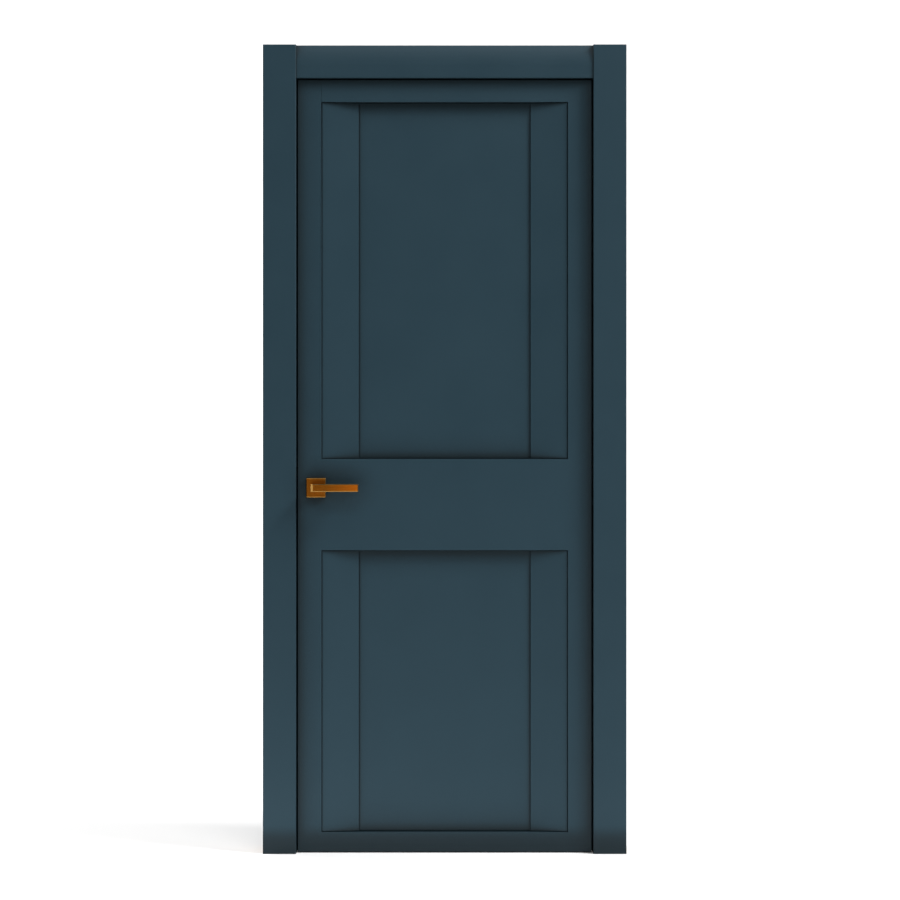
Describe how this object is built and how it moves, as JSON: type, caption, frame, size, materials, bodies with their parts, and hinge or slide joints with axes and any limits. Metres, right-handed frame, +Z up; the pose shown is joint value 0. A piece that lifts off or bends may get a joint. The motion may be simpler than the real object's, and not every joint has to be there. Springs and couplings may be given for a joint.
{
  "type": "interior door with frame",
  "caption": "Painted interior door with recessed panels between wedge strips, on concealed hinges in a jamb frame with flat casings, with square lever handles and a magnetic latch.",
  "frame": {"origin": "on the floor, in the middle of the leaf's width and thickness", "axes": "+X to the hinge side, +Y from the pull face to the push face, +Z up"},
  "size_m": [0.987, 0.144, 2.1965],
  "materials": {
    "enamel": "satin petrol-blue enamel on wood fibre board",
    "bronze": "satin bronze",
    "hinge_steel": "satin nickel",
    "lock_steel": "bright zinc plate",
    "seal_rubber": "matt black",
    "box_plastic": "moulded"
  },
  "bodies": {
    "frame": {"strike_jamb": "enamel", "hinge_jamb": "enamel", "head_jamb": "enamel", "strike_stop": "enamel", "hinge_stop": "enamel", "head_stop": "enamel", "strike_seal": "seal_rubber", "hinge_seal": "seal_rubber", "head_seal": "seal_rubber", "front_strike_casing": "enamel", "front_hinge_casing": "enamel", "front_head_casing": "enamel", "back_strike_casing": "enamel", "back_hinge_casing": "enamel", "back_head_casing": "enamel", "strike_plate": "bronze", "strike_box": "box_plastic", "strike_magnet": "lock_steel", "strike_screws": "bronze", "bottom_jamb_hinge": "hinge_steel", "middle_jamb_hinge": "hinge_steel", "top_jamb_hinge": "hinge_steel", "jamb_hinge_screws": "hinge_steel", "jamb_corner_screws": "lock_steel"},
    "leaf": {"lock_stile": "enamel", "hinge_stile": "enamel", "top_rail": "enamel", "lock_rail": "enamel", "bottom_rail": "enamel", "upper_panel": "enamel", "lower_panel": "enamel", "front_upper_lock_strip": "enamel", "front_upper_hinge_strip": "enamel", "front_lower_lock_strip": "enamel", "front_lower_hinge_strip": "enamel", "back_upper_lock_strip": "enamel", "back_upper_hinge_strip": "enamel", "back_lower_lock_strip": "enamel", "back_lower_hinge_strip": "enamel", "bottom_leaf_hinge": "hinge_steel", "middle_leaf_hinge": "hinge_steel", "top_leaf_hinge": "hinge_steel", "leaf_hinge_screws": "hinge_steel", "lock_case": "lock_steel", "lock_forend": "bronze", "lock_screws": "bronze", "front_rosette_base": "lock_steel", "front_rosette_cover": "bronze", "back_rosette_base": "lock_steel", "back_rosette_cover": "bronze", "rosette_bolts": "lock_steel"},
    "handle": {"front_lever": "bronze", "back_lever": "bronze", "spindle": "lock_steel", "lock_follower": "lock_steel", "lever_grub_screws": "lock_steel"},
    "latch": {"latch_bolt": "lock_steel"},
    "hinge_arms": {"bottom_hinge_arms": "hinge_steel", "middle_hinge_arms": "hinge_steel", "top_hinge_arms": "hinge_steel"}
  },
  "joints": [
    {"name": "leaf_swing", "type": "hinge", "parent": "frame", "child": "leaf", "pos_m": [0.40175, -0.028, 1.053], "axis": [0, 0, 1], "range_deg": [0, 100]},
    {"name": "hinge_arm_turn", "type": "hinge", "parent": "frame", "child": "hinge_arms", "pos_m": [0.40175, -0.028, 1.053], "axis": [0, 0, 1], "range_deg": [0, 50]},
    {"name": "lever_turn", "type": "hinge", "parent": "leaf", "child": "handle", "pos_m": [-0.35, 0, 0.9935], "axis": [0, 1, 0], "range_deg": [0, 40], "stiffness_Nm_per_rad": 1.5, "springref_deg": -34.38},
    {"name": "latch_slide", "type": "slide", "parent": "leaf", "child": "latch", "axis": [-1, 0, 0], "range_m": [0, 0.01], "stiffness_N_per_m": 60, "springref_m": -0.002}
  ],
  "couplings": [
    {"joint": "hinge_arm_turn", "follows": "leaf_swing", "ratio": 0.5}
  ]
}
